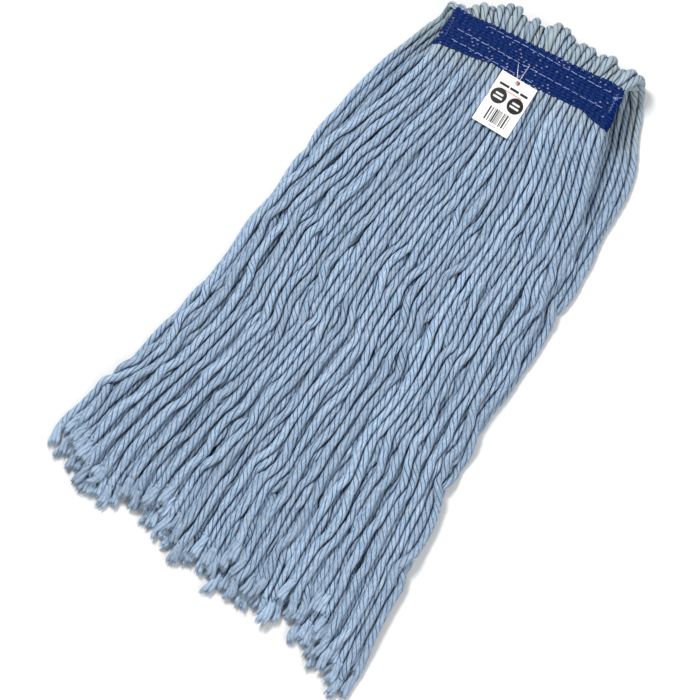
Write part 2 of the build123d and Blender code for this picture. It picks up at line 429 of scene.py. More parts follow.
def finer(line, step):
    """A settled line, smoothed and in finer steps by cubic interpolation."""
    padded = np.concatenate([2 * line[:1] - line[1:2], line, 2 * line[-1:] - line[-2:-1]])
    count = int(round((len(line) - 1) * STEP / step))
    at = np.linspace(0, len(line) - 1, count + 1)
    k = np.minimum(at.astype(int), len(line) - 2)
    f = (at - k)[:, None]
    a, b, c, d = padded[k], padded[k + 1], padded[k + 2], padded[k + 3]
    return b + 0.5 * f * (c - a + f * (2 * a - 5 * b + 4 * c - d + f * (3 * (b - c) + d - a)))


def ring_angles(run, draw):
    """Where round the yarn each of a ring's points lies, for a slightly uneven twist."""
    twist = draw.uniform(0, 2 * math.pi) - 2 * math.pi * run / (TWIST_PITCH * draw.uniform(0.88, 1.14))
    for wave, size in UNTWINING:
        twist += size * np.sin(2 * math.pi * run / wave + draw.uniform(0, 2 * math.pi))
    return 2 * math.pi * np.arange(SIDES)[None, :] / SIDES + twist[:, None]


def round_line(line, radius, theta, side, up):
    """Rings of points round a line."""
    return line[:, None] + radius[..., None] * (
        np.cos(theta)[..., None] * side[:, None] + np.sin(theta)[..., None] * up[:, None]
    )


def ring_points(line, radius, theta):
    """The four-ply rings round a yarn's line."""
    _, side, up = frames(line)
    return round_line(line, radius[:, None] * np.tile(PLY_SHAPE, PLIES)[None, :], theta, side, up)


def painted_gap_shades(lines, radii, rings, middles):
    """Painted shade between two yarns of one half: how deep between them each ring's points lie, 0 in the open to 1
    where yarns touch.
    """
    sizes = [len(line) for line in lines]
    yarn = np.repeat(np.arange(len(lines)), sizes)
    points, radius, around = np.concatenate(lines), np.concatenate(radii), np.concatenate(rings)
    along = np.concatenate([frames(line)[0] for line in lines])
    behind = np.concatenate([np.arange(size) >= middle for size, middle in zip(sizes, middles)])
    a, b = close_pairs(points, yarn, 2 * FLUFFED + 2.5, 8)
    a, b = np.concatenate([a, b]), np.concatenate([b, a])
    beside = abs(np.einsum("ij,ij->i", points[b] - points[a], along[a])) < 0.56 * RING_STEP
    beside &= (behind[a] == behind[b]) | (points[a, 1] > -5)
    a, b = a[beside], b[beside]
    order = np.argsort(a, kind="stable")
    a, b = a[order], b[order]
    gap = np.linalg.norm(around[a] - points[b][:, None], axis=2) - radius[b][:, None]
    starts = np.flatnonzero(np.concatenate([[True], a[1:] != a[:-1]]))
    nearest = np.full((len(points), SIDES), 9.0)
    nearest[a[starts]] = np.minimum.reduceat(gap, starts, axis=0)
    depth = 1 - smooth((nearest - 0.05) / GAP_SHADE_WIDTH)
    return np.split(depth, np.cumsum(sizes)[:-1])


def tube(shape, yarn, first, last):
    """Adds the stretch of a yarn between two of its rings."""
    part = slice(first, last)
    theta = yarn["theta"][part]
    grain = np.broadcast_to(yarn["run"][part, None] + GRAIN_SHIFT * yarn["tint"], theta.shape)
    # painted shade in the ply grooves
    groove = np.broadcast_to(np.tile(GROOVE_SHADE, PLIES)[None, :], theta.shape)
    fibre = np.stack([FREE * np.cos(theta), FREE * np.sin(theta), grain], axis=-1)
    shape.add(
        yarn["rings"][part].reshape(-1, 3), ring_faces(len(theta), SIDES), groove=groove.ravel(), tint=yarn["tint"],
        tan=np.repeat(yarn["tan"][part], SIDES), crevice=yarn["crevice"][part].ravel(), fibre=fibre.reshape(-1, 3),
    )


FRAY = 22.0  # the last stretch of a yarn, where its plies come apart
FRAY_REACH = 5.0  # how far a fibre's tip may be from the yarn's end
FRAY_SIDES = 8
FIBRES = 9  # that stick out of each ply
FIBRE_THICK = 0.22


def frayed_end(shape, yarn, rings, draw):
    """Adds the four loose plies of a cut end along the yarn's last rings, with their fibres."""
    line, run = yarn["line"][rings], yarn["run"][rings]
    tint, twist = yarn["tint"], yarn["theta"][rings, 0]
    along, side, up = frames(line)
    if along[0] @ (yarn["line"][-1] - yarn["line"][0]) < 0:
        side = -side
    share = np.linspace(0, 1, len(line))
    ring = 2 * math.pi * np.arange(FRAY_SIDES) / FRAY_SIDES
    for ply in range(PLIES):
        untwisted = twist[0] + (twist - twist[0]) * (1 - 0.5 * share)
        spin = untwisted + math.pi / PLIES + 2 * math.pi * ply / PLIES
        out = 1.75 + draw.uniform(0.6, 2.5) * share**1.3
        flat = 1 - 0.45 * share
        centre = line + out[:, None] * (np.cos(spin)[:, None] * side + (flat * np.sin(spin))[:, None] * up)
        centre[:, 2] = np.maximum(centre[:, 2], FLOOR + 1.9)
        cut = draw.uniform(0.74, 1.0)
        centre = centre[0] + (centre - centre[0]) * cut
        thick = 1.85 + 0.15 * share - 0.5 * smooth((share - 0.85) / 0.15)
        vertices = round_line(centre, thick[:, None], ring, side, up)
        vertices[..., 2] = np.maximum(vertices[..., 2], FLOOR)
        fibre = np.stack([2 * np.cos(ring) + ply * 5, 2 * np.sin(ring), 0 * ring], axis=-1)
        fibre = np.broadcast_to(fibre, (len(line), FRAY_SIDES, 3)).copy()
        fibre[..., 2] = run[:, None] + GRAIN_SHIFT * tint
        # the loose plies carry painted shade from the ply grooves, fading towards the cut
        shape.add(
            vertices.reshape(-1, 3), ring_faces(len(line), FRAY_SIDES),
            groove=np.repeat(0.25 * (1 - share), FRAY_SIDES), tint=tint, fibre=fibre.reshape(-1, 3),
        )
        for _ in range(FIBRES):
            a, spread, reach = draw.uniform(0, 2 * math.pi), draw.uniform(0.3, 1.0), draw.uniform(1.5, 4.0)
            outward = math.cos(a) * side[-1] + math.sin(a) * up[-1]
            root = centre[-2] + spread * 1.1 * outward
            tip = centre[-1] + spread * 2.2 * outward + reach * along[-1]
            tip = line[-1] + (tip - line[-1]) * min(1, FRAY_REACH / np.linalg.norm(tip - line[-1]))
            tip[2] = max(tip[2], FLOOR + 0.3)
            hair(shape, root, tip, tint, draw)


def hair(shape, root, tip, tint, draw):
    """Adds one fine bent fibre."""
    middle = (root + tip) / 2 + draw.uniform(-0.6, 0.6, 3)
    middle[2] = max(middle[2], FLOOR + 0.3)
    corners = np.array([(1, 0, 0), (-0.5, 0, 0.87), (-0.5, 0, -0.87)]) * FIBRE_THICK
    vertices = np.concatenate([root + corners, middle + corners, tip + 0.4 * corners])
    vertices[:, 2] = np.maximum(vertices[:, 2], FLOOR)
    shape.add(vertices, ring_faces(3, 3), tint=tint, tan=0.2)


# -------------------- materials
def new_material(name):
    """A material with its Principled shader and a short way to add nodes."""
    material = bpy.data.materials.new(name)
    material.use_nodes = True
    tree = material.node_tree
    shader = tree.nodes["Principled BSDF"]

    def add(kind, settings=None, **inputs):
        node = tree.nodes.new(kind)
        for key, value in (settings or {}).items():
            setattr(node, key, value)
        for key, value in inputs.items():
            socket = node.inputs[int(key[1:])] if key[0] == "_" else node.inputs[key.replace("_", " ")]
            if isinstance(value, bpy.types.NodeSocket):
                tree.links.new(value, socket)
            else:
                socket.default_value = value
        return node

    return material, tree, shader, add


def ramp(add, fac, *stops):
    """A colour ramp through (place, colour) stops."""
    node = add("ShaderNodeValToRGB", _0=fac)
    elements = node.color_ramp.elements
    while len(elements) < len(stops):
        elements.new(0.5)
    for element, (place, colour) in zip(elements, stops):
        element.position = place
        element.color = (*colour, 1)
    return node.outputs["Color"]


def mix(add, fac, a, b, blend="MIX"):
    """Two colours mixed."""
    node = add("ShaderNodeMix", {"data_type": "RGBA", "blend_type": blend})
    tree = node.id_data
    for socket, value in ((node.inputs[0], fac), (node.inputs[6], a), (node.inputs[7], b)):
        if isinstance(value, bpy.types.NodeSocket):
            tree.links.new(value, socket)
        else:
            socket.default_value = value if socket.type == "VALUE" else (*value, 1)
    return node.outputs[2]


def attribute(add, name):
    """A value or vector stored on the mesh."""
    node = add("ShaderNodeAttribute", {"attribute_name": name})
    return node.outputs["Vector"] if name == "fibre" else node.outputs["Fac"]


def noise(add, place, stretch, **settings):
    """Noise over the surface, stretched."""
    at = add("ShaderNodeMapping", Vector=place, Scale=stretch)
    return add("ShaderNodeTexNoise", Vector=at.outputs[0], Scale=1.0, **settings).outputs["Fac"]


def math_node(add, operation, a, b):
    """The result of a sum, a product or a comparison."""
    return add("ShaderNodeMath", {"operation": operation}, _0=a, _1=b).outputs[0]


def remap(add, value, low, high, to_low, to_high, kind="LINEAR"):
    """A value moved from one range to another."""
    settings = {"interpolation_type": kind}
    return add("ShaderNodeMapRange", settings, Value=value, _1=low, _2=high, _3=to_low, _4=to_high).outputs[0]


def set_values(node, **values):
    """Sets a node's sockets by name."""
    for key, value in values.items():
        node.inputs[key.replace("_", " ")].default_value = value


def finish_shader(tree, shader, base, **values):
    """Links the base colour, and sets what is the same all over the surface."""
    tree.links.new(base, shader.inputs["Base Color"])
    set_values(shader, **values)


def yarn_material():
    """Pale blue four-ply blend yarn: streaked fibres, painted navy shade in the ply grooves, painted dark shade in
    the gaps between neighbouring yarns, specks of other colours.
    """
    material, tree, shader, add = new_material("blue_yarn")
    fibre, groove, tint, tan, crevice = (
        attribute(add, name) for name in ("fibre", "groove", "tint", "tan", "crevice")
    )
    streak = noise(add, fibre, (1.5, 1.5, 0.22), Detail=3.0, Roughness=0.6)
    fine = noise(add, fibre, (6.0, 6.0, 0.8), Detail=2.0)
    patch = noise(add, fibre, (0.15, 0.15, 0.06), Detail=2.0)
    base = ramp(
        add, streak, (0.28, (0.09, 0.175, 0.30)), (0.43, (0.29, 0.385, 0.50)), (0.60, (0.41, 0.505, 0.625)),
        (0.78, (0.54, 0.63, 0.74)),
    )
    fine_shade = ramp(add, fine, (0.3, (0.70, 0.73, 0.77)), (0.7, (1.14, 1.12, 1.10)))
    base = mix(add, 0.85, base, fine_shade, "MULTIPLY")
    base = mix(add, patch, base, (0.50, 0.54, 0.58), "SOFT_LIGHT")
    base = mix(add, 1.0, base, remap(add, tint, -1.0, 1.0, 0.84, 1.12), "MULTIPLY")
    base = mix(add, math_node(add, "MULTIPLY", tan, 0.7), base, (0.36, 0.41, 0.39))
    # painted shade in the ply grooves, deeper in patches, mixed towards navy
    groove_shade_mix = math_node(add, "MULTIPLY", groove, remap(add, patch, 0.35, 0.65, 0.75, 1.3))
    base = mix(add, remap(add, groove_shade_mix, 0.2, 1.0, 0.0, 0.85, "SMOOTHSTEP"), base, (0.014, 0.055, 0.145))
    # painted shade in the gaps between neighbouring yarns, broken up along them by noise, nearly black
    gap_shade_breakup = noise(add, fibre, (0.05, 0.05, 0.055), Detail=2.0)
    gap_shade_mix = math_node(add, "MULTIPLY", crevice, remap(add, gap_shade_breakup, 0.40, 0.55, 0.3, 1.0))
    base = mix(add, gap_shade_mix, base, (0.0, 0.01, 0.045))
    speck_at = add("ShaderNodeMapping", Vector=fibre, Scale=(0.9, 0.9, 0.35))
    speck = add("ShaderNodeTexVoronoi", Vector=speck_at.outputs[0], Scale=0.55)
    hue = add("ShaderNodeSeparateColor", _0=speck.outputs["Color"]).outputs[0]
    pick = ramp(add, hue, (0.0, (0.10, 0.30, 0.32)), (0.45, (0.45, 0.20, 0.28)), (0.7, (0.62, 0.66, 0.5)))
    base = mix(add, math_node(add, "LESS_THAN", speck.outputs["Distance"], 0.10), base, pick)
    bump = add("ShaderNodeBump", Strength=0.6, Distance=0.0006, Height=math_node(add, "ADD", streak, fine))
    tree.links.new(bump.outputs[0], shader.inputs["Normal"])
    finish_shader(
        tree, shader, base, Roughness=0.85, Sheen_Weight=0.03, Sheen_Roughness=0.5, Specular_IOR_Level=0.05,
    )
    return material


yarn_look = yarn_material()

# -------------------- the yarns' pieces
JOIN_Z = -19.6  # where a loop's piece ends and the rear half's begins


def whole_yarn(number, nodes):
    """A settled yarn's rings and shades, and where its pieces meet."""
    line = finer(nodes, RING_STEP)
    run = np.arange(len(line)) * RING_STEP
    uneven = 0.04 * np.sin(run / 9.0 + number) + 0.03 * np.sin(run / 23.0 + 3 * number) + 0.02 * np.sin(run / 3.7)
    radius = yarn_radius(line) * (rng.uniform(0.94, 1.05) + uneven)
    theta = ring_angles(run, rng)
    middle = int(np.argmax(line[:, 1] > 0))
    return {
        "line": line, "run": run, "radius": radius, "theta": theta, "rings": ring_points(line, radius, theta),
        "tint": rng.uniform(-1, 1), "tan": smooth((line[:, 1] + 45) / 40) * rng.uniform(0.4, 1.0), "middle": middle,
        "far": middle + int(np.argmax(line[middle:, 2] < JOIN_Z)),
    }


yarns = {key: whole_yarn(number, nodes) for number, (key, nodes) in enumerate(settled.items())}
# painted shade between neighbouring yarns, kept on each ring's points
shaded = painted_gap_shades(*[[yarn[name] for yarn in yarns.values()] for name in ("line", "radius", "rings", "middle")])
for yarn, crevice in zip(yarns.values(), shaded):
    yarn["crevice"] = crevice

folds = {"upper": Shape(), "lower": Shape()}
rears = {}
tail = int(FRAY / RING_STEP)
for (layer, i), yarn in yarns.items():
    line, middle, far = yarn["line"], yarn["middle"], yarn["far"]
    shape = Shape()
    tube(shape, yarn, tail, middle + 1)
    frayed_end(shape, yarn, slice(tail + 1, None, -1), rng)
    front = shape.mesh(f"front_{layer}_yarn_{i + 1}", yarn_look)
    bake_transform(front)
    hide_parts(f"front_{layer}_tress_{i // 3 + 1}")
    tube(folds[layer], yarn, middle, far + 1)
    rear = rears.setdefault(("rear_lower" if layer == "upper" else "rear_upper", i // 3 + 1), Shape())
    stop = len(line) - tail
    tube(rear, yarn, far, stop)
    frayed_end(rear, yarn, slice(stop - 2, None), rng)

FOLD_BLENDS = {"upper": ((0, 0.020, -0.002), (0, 0.024, -0.018)), "lower": ((0, 0.018, -0.009), (0, 0.022, -0.018))}
for layer, shape in folds.items():
    fold = shape.mesh(f"fold_{layer}_yarns", yarn_look)
    start, end = FOLD_BLENDS[layer]
    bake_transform(fold)
    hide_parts(f"yarn_centre_{layer}", "fold_loops_outer" if layer == "upper" else "fold_loops_inner")
for (layer, tress), shape in rears.items():
    rear = shape.mesh(f"{layer}_yarns_{tress}", yarn_look)
    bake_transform(rear)
    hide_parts(f"{layer}_tress_{tress}")

# -------------------- headband
# x and y along the edges of the upper strip, as it shows in the photo, and of the flat lower strip
BAND_TOP = (
    (-79, 18.8), (-63, 17.2), (-46, 17.8), (-30, 18), (-20, 17.7), (27, 16.5), (43, 16.2), (56, 16), (65, 17),
    (80, 15.2),
)
BAND_BOTTOM = (
    (-84.7, -20.4), (-78, -17.7), (-56, -17), (-44, -16.1), (-29, -13.8), (-22, -15.3), (14, -17.3), (55, -17.4),
    (67, -21.4), (84, -25.6),
)
BACK_TOP = ((-80, 15.8), (80, 15.8))
BACK_BOTTOM = ((-80, -15.8), (80, -15.8))
BACK_FACE = -13.8  # height of the lower strip's face
STITCH_ROWS = ((11.8, 3, 18), (-3.6, 0, 18), (-14.0, 0, 10))  # y at the middle, first stitch, one past the last
MIDDLE_STITCH = 9
SLANT = math.radians(-3.6)  # of the rows of stitching
STITCH_PITCH = 8.0
STITCH_LENGTH = 6.4
STRIP_THICK = 0.32
KNIT_ROWS = 12
COURSE = 4.9  # one stitch of the knit along the headband
ALONG_CELLS, ACROSS_CELLS = 340, 96


def table(points, x):
    """A value read off straight lines between points."""
    return np.interp(x, *zip(*points))


def row_dips(x, y):
    """How far the rows of stitching draw the headband in."""
    dip = np.zeros_like(x)
    for at, first, last in STITCH_ROWS:
        along = x * math.cos(SLANT) + (y - at) * math.sin(SLANT)
        off = (y - at) * math.cos(SLANT) - x * math.sin(SLANT)
        start, end = STITCH_PITCH * (first - MIDDLE_STITCH), STITCH_PITCH * (last - MIDDLE_STITCH)
        within = smooth((along - start + 3) / 4) * smooth((end + 3 - along) / 4)
        pulled = 0.75 + 0.25 * np.cos(2 * math.pi * (along - start) / STITCH_PITCH)
        dip = np.maximum(dip, 0.45 * within * pulled * np.exp(-((off / 1.2) ** 2)))
    return dip


def ribbon(top, bottom, left, right, flip, draw):
    """One knitted strip, with its two faces and its edges."""
    s, t = np.meshgrid(np.linspace(0, 1, ALONG_CELLS + 1), np.linspace(0, 1, ACROSS_CELLS + 1), indexing="ij")
    start = left[0] + (left[1] - left[0]) * t
    end = right[0] + (right[1] - right[0]) * t
    x = start + (end - start) * s
    scallop = 1 - abs(np.sin(math.pi * x / 6.3 + 0.8 * np.sin(x / 11)))
    upper = table(top, x) - 1.5 * scallop**3 + 0.35 * np.sin(x * 1.7)
    lower = table(bottom, x) + 0.7 * scallop**3 - 0.25 * np.sin(x * 1.3 + 2)
    y = lower + t * (upper - lower)
    x = x + 0.5 * np.sin(y / 3.1) * np.exp(-8 * np.minimum(s, 1 - s))
    bend = 0.05 * np.sin(x / 8.0 + 1.0) + 0.03 * np.sin(x / 3.3)
    row = t * KNIT_ROWS + bend
    number = np.floor(row).astype(int)
    ridge = abs(np.sin(math.pi * row)) ** 0.6
    stitch = np.cos(2 * math.pi * x / COURSE + math.pi * (number % 2) + 0.9 * np.sin(number * 2.3))
    cell = np.floor(x / COURSE + 0.5 * (number % 2) + 0.143 * np.sin(number * 2.3) + 0.5).astype(int)
    # a random value for each knit cell: it sets the cell's relief and which cells get painted highlights
    wear_and_glint = draw.uniform(0, 1, (KNIT_ROWS + 4, 80))[np.clip(number + 1, 0, KNIT_ROWS + 3), cell % 80]
    relief = ridge * (0.24 + 0.12 * stitch + 0.10 * (wear_and_glint - 0.5))
    relief += 0.07 * np.sin(x / 4.1 + 3 * np.sin(y / 6.0)) + 0.05 * np.sin(x / 1.9 - y / 2.2)
    valley = np.sin(math.pi * x / 6.0) ** 2
    past_end = np.maximum(abs(x) - 79.5, 0)
    middle = -0.50 - 0.28 * valley - row_dips(x, y) - 0.16 * past_end**1.8
    outer, inner = middle + relief, middle - STRIP_THICK
    # painted highlights: paler spots on a share of the knit's ridges, more of them round the tag and near x -45
    near_tag = np.exp(-(((x + 8) / 26) ** 2 + ((y + 6) / 12) ** 2))
    glint_share = 0.12 + 0.42 * near_tag + 0.14 * np.exp(-(((x + 45) / 30) ** 2))
    shine = smooth((stitch - 0.45) / 0.5) * smooth((ridge - 0.84) / 0.15) * (wear_and_glint < glint_share) * (0.5 + 0.5 * wear_and_glint / glint_share)
    # painted shade in the knit's valleys between its ridges
    groove = 1 - ridge * (0.75 + 0.25 * stitch)
    if flip:
        outer, inner = BACK_FACE - outer, BACK_FACE - inner
    faces, n = [], ACROSS_CELLS + 1
    count = (ALONG_CELLS + 1) * n
    for a in range(ALONG_CELLS):
        for b in range(ACROSS_CELLS):
            k = a * n + b
            faces.append((k, k + n, k + n + 1, k + 1))
            faces.append((count + k, count + k + 1, count + k + n + 1, count + k + n))
    rim = [a * n for a in range(ALONG_CELLS)] + [ALONG_CELLS * n + b for b in range(ACROSS_CELLS)]
    rim += [(a * n + ACROSS_CELLS) for a in range(ALONG_CELLS, 0, -1)] + list(range(ACROSS_CELLS, 0, -1))
    for k, after in zip(rim, rim[1:] + rim[:1]):
        faces.append((k, count + k, count + after, after))
    if flip:
        faces = [face[::-1] for face in faces]
    vertices = np.stack([np.stack([x, y, z], axis=-1).reshape(-1, 3) for z in (outer, inner)]).reshape(-1, 3)
    place = np.stack([x, KNIT_ROWS * 2.8 * t + 40 * flip, np.zeros_like(x)], axis=-1).reshape(-1, 3)
    shape = Shape("groove", "shine", "fibre")
    shape.add(
        vertices, faces, groove=np.tile(groove.ravel(), 2), shine=np.concatenate([shine.ravel(), 0 * shine.ravel()]),
        fibre=np.tile(place, (2, 1)),
    )
    return shape


def band_material():
    """Glossy dark blue plastic tape, knitted: painted shade in its valleys, paler painted highlights where it glints.
    """
    material, tree, shader, add = new_material("headband_mesh")
    place, groove, shine = (attribute(add, name) for name in ("fibre", "groove", "shine"))
    streak = noise(add, place, (0.30, 2.4, 1.0), Detail=4.0, Roughness=0.65)
    weave = noise(add, place, (1.3, 1.1, 1.0), Detail=3.0, Roughness=0.7)
    base = ramp(add, streak, (0.38, (0.0, 0.005, 0.055)), (0.5, (0.001, 0.021, 0.135)), (0.64, (0.010, 0.055, 0.27)))
    shade = ramp(add, weave, (0.38, (0.20, 0.26, 0.38)), (0.60, (1.35, 1.28, 1.20)))
    base = mix(add, 0.9, base, shade, "MULTIPLY")
    # painted shade in the knit's valleys
    base = mix(add, remap(add, groove, 0.15, 0.8, 0.0, 0.92), base, (0.0, 0.004, 0.035))
    # painted highlights where the knit glints
    base = mix(add, math_node(add, "MULTIPLY", shine, 0.75), base, (0.36, 0.42, 0.58))
    bump = add("ShaderNodeBump", Strength=0.7, Distance=0.0004, Height=weave)
    tree.links.new(bump.outputs[0], shader.inputs["Normal"])
    finish_shader(tree, shader, base, Roughness=0.32, Specular_IOR_Level=0.05)
    return material


band_look = band_material()
front_ribbon = ribbon(BAND_TOP, BAND_BOTTOM, (-84.5, -79.2), (84.3, 81.8), 0, rng)
front_ribbon = front_ribbon.mesh("headband_ribbon_front", band_look)
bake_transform(front_ribbon)
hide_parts("headband_front")
back_ribbon = ribbon(BACK_TOP, BACK_BOTTOM, (-80, -80), (80, 80), 1, rng)
back_ribbon = back_ribbon.mesh("headband_ribbon_back", band_look)
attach(back_ribbon, "headband")
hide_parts("headband_back")


# -------------------- stitches
def thread_material():
    """Pale blue-violet polyester thread, darker where it is worn."""
    material, tree, shader, add = new_material("stitch_thread")
    base = mix(add, attribute(add, "tint"), (0.24, 0.31, 0.60), (0.012, 0.035, 0.16))
    finish_shader(tree, shader, base, Roughness=0.4)
    return material


THREAD_SIDES = 10


def thread(shape, line, thick, tint):
    """Adds a two-ply twisted thread along a line."""
    line = np.asarray(line, dtype=float)
    along = np.gradient(line, axis=0)
    along /= np.linalg.norm(along, axis=1)[:, None]
    side = np.cross(along, [0.0, 0.0, 1.0])
    side /= np.maximum(np.linalg.norm(side, axis=1), 1e-6)[:, None]
    up = np.cross(side, along)
    theta = 2 * math.pi * np.arange(THREAD_SIDES) / THREAD_SIDES
    radius = thick * (0.84 + 0.16 * np.cos(2 * theta[None, :] + 2.6 * run_along(line)[:, None] / (3 * thick)))
    vertices = round_line(line, radius, theta, side, up)
    shape.add(vertices.reshape(-1, 3), ring_faces(len(line), THREAD_SIDES), tint=tint)


thread_look = thread_material()
FRONT_THREAD_Z = -0.36
BACK_THREAD_Z = BACK_FACE + 0.42
THREAD_THICK = 0.36
share = np.linspace(0, 1, 17)  # along one stitch
for number, (at, first, last) in enumerate(STITCH_ROWS, start=1):
    row = Shape("tint")
    for n in range(first, last):
        for z, sense in ((FRONT_THREAD_Z, 1), (BACK_THREAD_Z - 0.06, -1)):
            start = STITCH_PITCH * (n - MIDDLE_STITCH) + (STITCH_PITCH - STITCH_LENGTH) / 2 + rng.uniform(-0.3, 0.3)
            reach = STITCH_LENGTH * rng.uniform(0.9, 1.06)
            skew = rng.uniform(-0.35, 0.35)
            along = start + reach * share
            off = skew * (share - 0.5) * 2 + rng.uniform(-0.15, 0.15)
            x = along * math.cos(SLANT) - off * math.sin(SLANT)
            y = at + along * math.sin(SLANT) + off * math.cos(SLANT)
            sink = 1 - np.minimum(1, np.minimum(share, 1 - share) * 7)
            line = np.stack([x, y, z - sense * 0.8 * sink**2], axis=-1)
            thread(row, line, THREAD_THICK, rng.uniform(0, 0.35))
    row = row.mesh(f"stitching_{number}", thread_look)
    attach(row, "headband")
    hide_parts(f"stitch_row_{number}")

TACK_X = 77.4
TACK_REACH = 9.3
TACK_THICK = 0.26
for side, x, dark in (("left", -TACK_X, 0.9), ("right", TACK_X, 0.55)):
    tack = Shape("tint")
    turns = np.linspace(0, 1, 61)
    zigzag = 0.9 * (2 * abs((turns * 12) % 2 - 1) - 1)
    line = np.stack([x + zigzag, -TACK_REACH + 2 * TACK_REACH * turns, np.full_like(turns, -0.34)], axis=-1)
    thread(tack, line, TACK_THICK, dark)
    if side == "right":  # tied off with a knot, and its tail
        knot = np.linspace(0, 3.2 * math.pi, 40)
        line = np.stack([76.3 + 1.1 * np.cos(knot), 4.3 + 0.8 * np.sin(knot), -0.1 + 0.02 * knot], axis=-1)
        thread(tack, line, 0.34, 0)
        tail_x = np.linspace(76.6, 82.2, 12)
        line = np.stack([tail_x, 4.5 + 3.4 * ((tail_x - 76.6) / 5.6) ** 1.3, np.full_like(tail_x, 0.05)], axis=-1)
        thread(tack, line, TACK_THICK, 0.1)
    tack = tack.mesh(f"tack_{side}", thread_look)
    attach(tack, "headband")
    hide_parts(f"bar_tack_{side}")

# -------------------- tag
TAG_THICK = 0.4
TAG_CELL = 0.3  # the grid that carries the print
TAG_HOLE = (0.0, 3.5, 1.6)  # across, down, radius
TAG_NORMAL = np.cross(TAG_DOWN, TAG_RIGHT)


def on_tag(p, q, height):
    """Points of the slightly curved card, p across from its middle, q down from its top edge."""
    bow = 0.55 * (1 - (p / 17) ** 2) * smooth(q / 20) + 0.35 * np.sin(math.pi * q / 47)
    bow = bow + 0.25 * np.sin(q / 9 + p / 12)
    lift = (np.asarray(height) + bow)[..., None] if np.ndim(bow) else height + bow
    return TAG_TOP + np.multiply.outer(p, TAG_RIGHT) + np.multiply.outer(q, TAG_DOWN) + lift * TAG_NORMAL


def covered(distance):
    """Ink inside a shape's edge, a little soft."""
    return np.clip(0.5 - distance / 0.25, 0, 1)


def bar(p, q, middle, size):
    """Distance outside a rectangle."""
    return np.maximum(abs(p - middle[0]) - size[0] / 2, abs(q - middle[1]) - size[1] / 2)


# middle, size and ink of the black bars and rules
BARS = (
    ((-8.6, 6.2), (7, 0.5), 0.6), ((8.6, 6.2), (7, 0.5), 0.6), ((0.5, 46.7), (7, 0.8), 0.7),
    ((-8.9, 10.4), (9.4, 2.4), 1), ((1.0, 10.4), (8.6, 2.4), 1), ((10.3, 10.4), (7.4, 2.4), 1),
)
DISCS = ((-8.3, 21.1), (8.6, 22.0))
DISC_RADIUS = 7.2
STRIPES = (-9.4, 11.0)  # from and to, across the tag


def tag_print(p, q, draw):
    """Black and red ink over the card: rules, two discs with blank bars, and plain stripes."""
    black = np.zeros_like(p)
    for middle, size, ink in BARS:
        black = np.maximum(black, covered(bar(p, q, middle, size)) * ink)
    for middle in DISCS:
        disc = covered(np.hypot(p - middle[0], q - middle[1]) - DISC_RADIUS)
        for down, width in ((-1.6, 7.0), (1.8, 8.4)):
            disc = disc * (1 - 0.9 * covered(bar(p, q, (middle[0], middle[1] + down), (width, 1.7))))
        black = np.maximum(black, disc)
    at = STRIPES[0]
    while at < STRIPES[1]:
        width, gap = draw.choice([0.6, 1.0, 1.5]), draw.choice([0.5, 0.8, 1.3])
        black = np.maximum(black, covered(bar(p, q, (at + width / 2, 38.2), (width, 13.0))))
        at += width + gap
    red = covered(bar(p, q, (0, 14.2), (20, 0.9)))
    return black, red


def tag_mesh(draw):
    """The card: a fine grid with its hole left open, closed all round."""
    wide, tall = round(TAG_SIZE[0] / TAG_CELL), round(TAG_SIZE[1] / TAG_CELL)
    half = TAG_SIZE[0] / 2
    p, q = np.meshgrid(np.linspace(-half, half, wide + 1), np.linspace(0, TAG_SIZE[1], tall + 1), indexing="ij")
    from_hole = np.hypot(p - TAG_HOLE[0], q - TAG_HOLE[1])
    near = abs(from_hole - TAG_HOLE[2]) < 0.55 * TAG_CELL
    scale = np.where(near, TAG_HOLE[2] / np.maximum(from_hole, 0.1), 1)
    p, q = TAG_HOLE[0] + (p - TAG_HOLE[0]) * scale, TAG_HOLE[1] + (q - TAG_HOLE[1]) * scale
    black, red = tag_print(p, q, draw)
    centre = [(a[:-1, :-1] + a[1:, 1:]) / 2 for a in (p, q)]
    solid = np.hypot(centre[0] - TAG_HOLE[0], centre[1] - TAG_HOLE[1]) > TAG_HOLE[2] - 0.03
    n = tall + 1
    count = (wide + 1) * n
    faces, edges = [], {}
    for a, b in zip(*np.nonzero(solid)):
        k = int(a * n + b)
        quad = (k, k + 1, k + n + 1, k + n)
        faces += [quad, tuple(count + c for c in quad[::-1])]
        for one, two in zip(quad, quad[1:] + quad[:1]):
            edges[one, two] = True
    for one, two in edges:
        if (two, one) not in edges:
            faces.append((two, one, count + one, count + two))
    used = sorted({c for face in faces for c in face})
    new = {c: k for k, c in enumerate(used)}
    faces = [tuple(new[c] for c in face) for face in faces]
    vertices = np.concatenate([on_tag(p, q, TAG_THICK).reshape(-1, 3), on_tag(p, q, 0.0).reshape(-1, 3)])[used]
    shape = Shape("ink", "red")
    shape.add(
        vertices, faces, ink=np.concatenate([black.ravel(), 0 * black.ravel()])[used],
        red=np.concatenate([red.ravel(), 0 * red.ravel()])[used],
    )
    return shape


def card_material():
    """White card, printed in black and red."""
    material, tree, shader, add = new_material("tag_card")
    base = mix(add, attribute(add, "red"), (0.80, 0.80, 0.79), (0.45, 0.09, 0.08))
    base = mix(add, attribute(add, "ink"), base, (0.003, 0.003, 0.003))
    finish_shader(tree, shader, base, Roughness=0.5, Specular_IOR_Level=0.25)
    return material


def plain_material(name, colour, **values):
    """A material of one colour."""
    material, _, shader, _ = new_material(name)
    set_values(shader, Base_Color=(*colour, 1), **values)
    return material


card = tag_mesh(rng).mesh("tag_printed_card", card_material())
for polygon in card.data.polygons:
    polygon.use_smooth = False
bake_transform(card)
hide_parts("tag")

